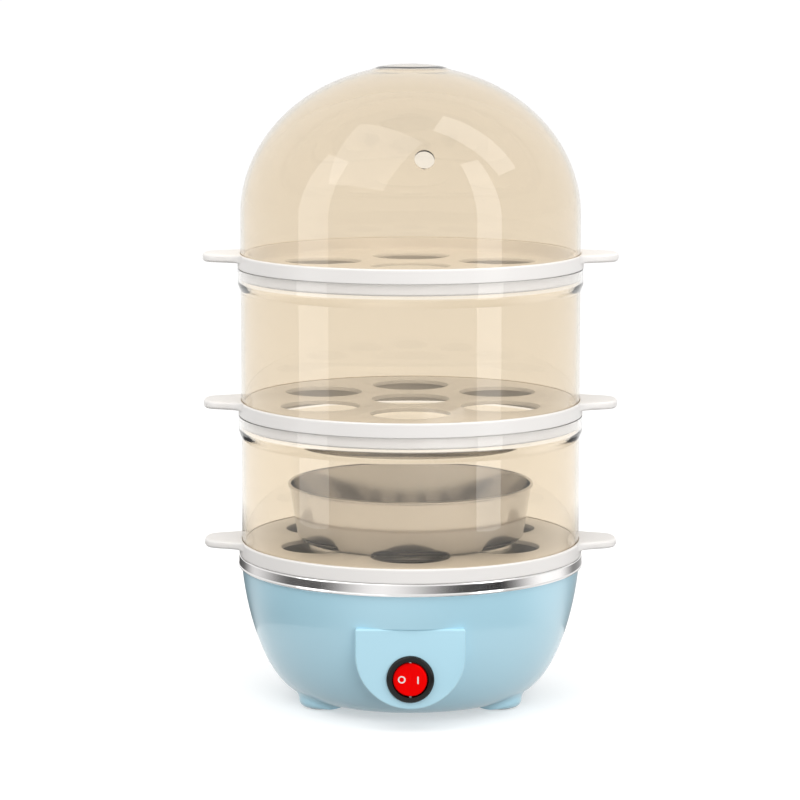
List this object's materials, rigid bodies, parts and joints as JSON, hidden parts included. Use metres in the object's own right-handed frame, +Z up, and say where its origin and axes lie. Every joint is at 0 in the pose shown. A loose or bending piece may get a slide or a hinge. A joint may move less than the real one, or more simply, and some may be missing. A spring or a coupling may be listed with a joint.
{
  "type": "egg cooker",
  "caption": "Stacking electric egg cooker and steamer: bowl-shaped base with a heating pan and rocker switch, trays with side handles, clear spacer tubes, steel bowl and clear dome lid.",
  "frame": {"origin": "centre of the base, on the surface that the foot pads stand on", "axes": "+Z up along the stack's axis; -Y is the front with the switch; the tray handles point along +X and -X"},
  "size_m": [0.2046, 0.171, 0.3152],
  "materials": {
    "blue_plastic": "glossy pale blue moulded polypropylene",
    "white_plastic": "glossy white moulded polypropylene",
    "clear_smoke": "clear plastic with a faint tea tint",
    "stainless": "polished stainless steel",
    "black_plastic": "fine-grained black nylon",
    "red_plastic": "glossy translucent red polycarbonate",
    "rubber_grey": "soft dark grey rubber",
    "cast_aluminium": "bare cast aluminium",
    "element_sheath": "heat-darkened steel sheath",
    "plated_steel": "zinc-plated steel",
    "spring_steel": "plain spring steel",
    "brass": "tinned brass",
    "ceramic_white": "unglazed moulded insulator",
    "lead_sleeve": "silicone-rubber wire insulation",
    "lead_red": "red wire insulation"
  },
  "bodies": {
    "base": {"base_housing": "blue_plastic", "bottom_cover": "blue_plastic", "cover_screws": "plated_steel", "foot_pads": "rubber_grey", "heating_pan": "stainless", "heater_plate": "cast_aluminium", "heater_tube": "element_sheath", "heater_pins": "plated_steel", "pan_studs": "plated_steel", "stud_washers": "plated_steel", "pan_nuts": "plated_steel", "earth_lug": "brass", "thermostat_body": "ceramic_white", "thermostat_cap": "cast_aluminium", "thermostat_tabs": "plated_steel", "thermostat_bracket": "spring_steel", "bracket_screws": "plated_steel", "thermal_fuse": "ceramic_white", "fuse_clip": "spring_steel", "switch_lead": "lead_red", "fuse_lead": "lead_sleeve", "heater_lead": "lead_sleeve", "switch_body": "black_plastic", "switch_terminals": "plated_steel", "switch_pin": "plated_steel", "cord_gland": "rubber_grey", "cord_clamp": "black_plastic", "clamp_screws": "plated_steel"},
    "rocker": {"switch_rocker": "red_plastic"},
    "lower_tray": {"lower_tray": "white_plastic"},
    "steaming_bowl": {"steaming_bowl": "stainless"},
    "lower_tube": {"lower_tube": "clear_smoke"},
    "middle_tray": {"middle_tray": "white_plastic"},
    "upper_tube": {"upper_tube": "clear_smoke"},
    "upper_tray": {"upper_tray": "white_plastic"},
    "dome_lid": {"dome_lid": "clear_smoke"}
  },
  "joints": [
    {"name": "rocker_pivot", "type": "hinge", "parent": "base", "child": "rocker", "pos_m": [0, -0.0807, 0.0266], "axis": [0, 0, 1], "range_deg": [0, 16]},
    {"name": "lower_tray_lift", "type": "slide", "parent": "base", "child": "lower_tray", "axis": [0, 0, 1], "range_m": [0, 0.06]},
    {"name": "steaming_bowl_lift", "type": "slide", "parent": "lower_tray", "child": "steaming_bowl", "axis": [0, 0, 1], "range_m": [0, 0.03]},
    {"name": "lower_tube_lift", "type": "slide", "parent": "lower_tray", "child": "lower_tube", "axis": [0, 0, 1], "range_m": [0, 0.08]},
    {"name": "middle_tray_lift", "type": "slide", "parent": "lower_tube", "child": "middle_tray", "axis": [0, 0, 1], "range_m": [0, 0.05]},
    {"name": "upper_tube_lift", "type": "slide", "parent": "middle_tray", "child": "upper_tube", "axis": [0, 0, 1], "range_m": [0, 0.08]},
    {"name": "upper_tray_lift", "type": "slide", "parent": "upper_tube", "child": "upper_tray", "axis": [0, 0, 1], "range_m": [0, 0.05]},
    {"name": "dome_lid_lift", "type": "slide", "parent": "upper_tray", "child": "dome_lid", "axis": [0, 0, 1], "range_m": [0, 0.1]}
  ]
}
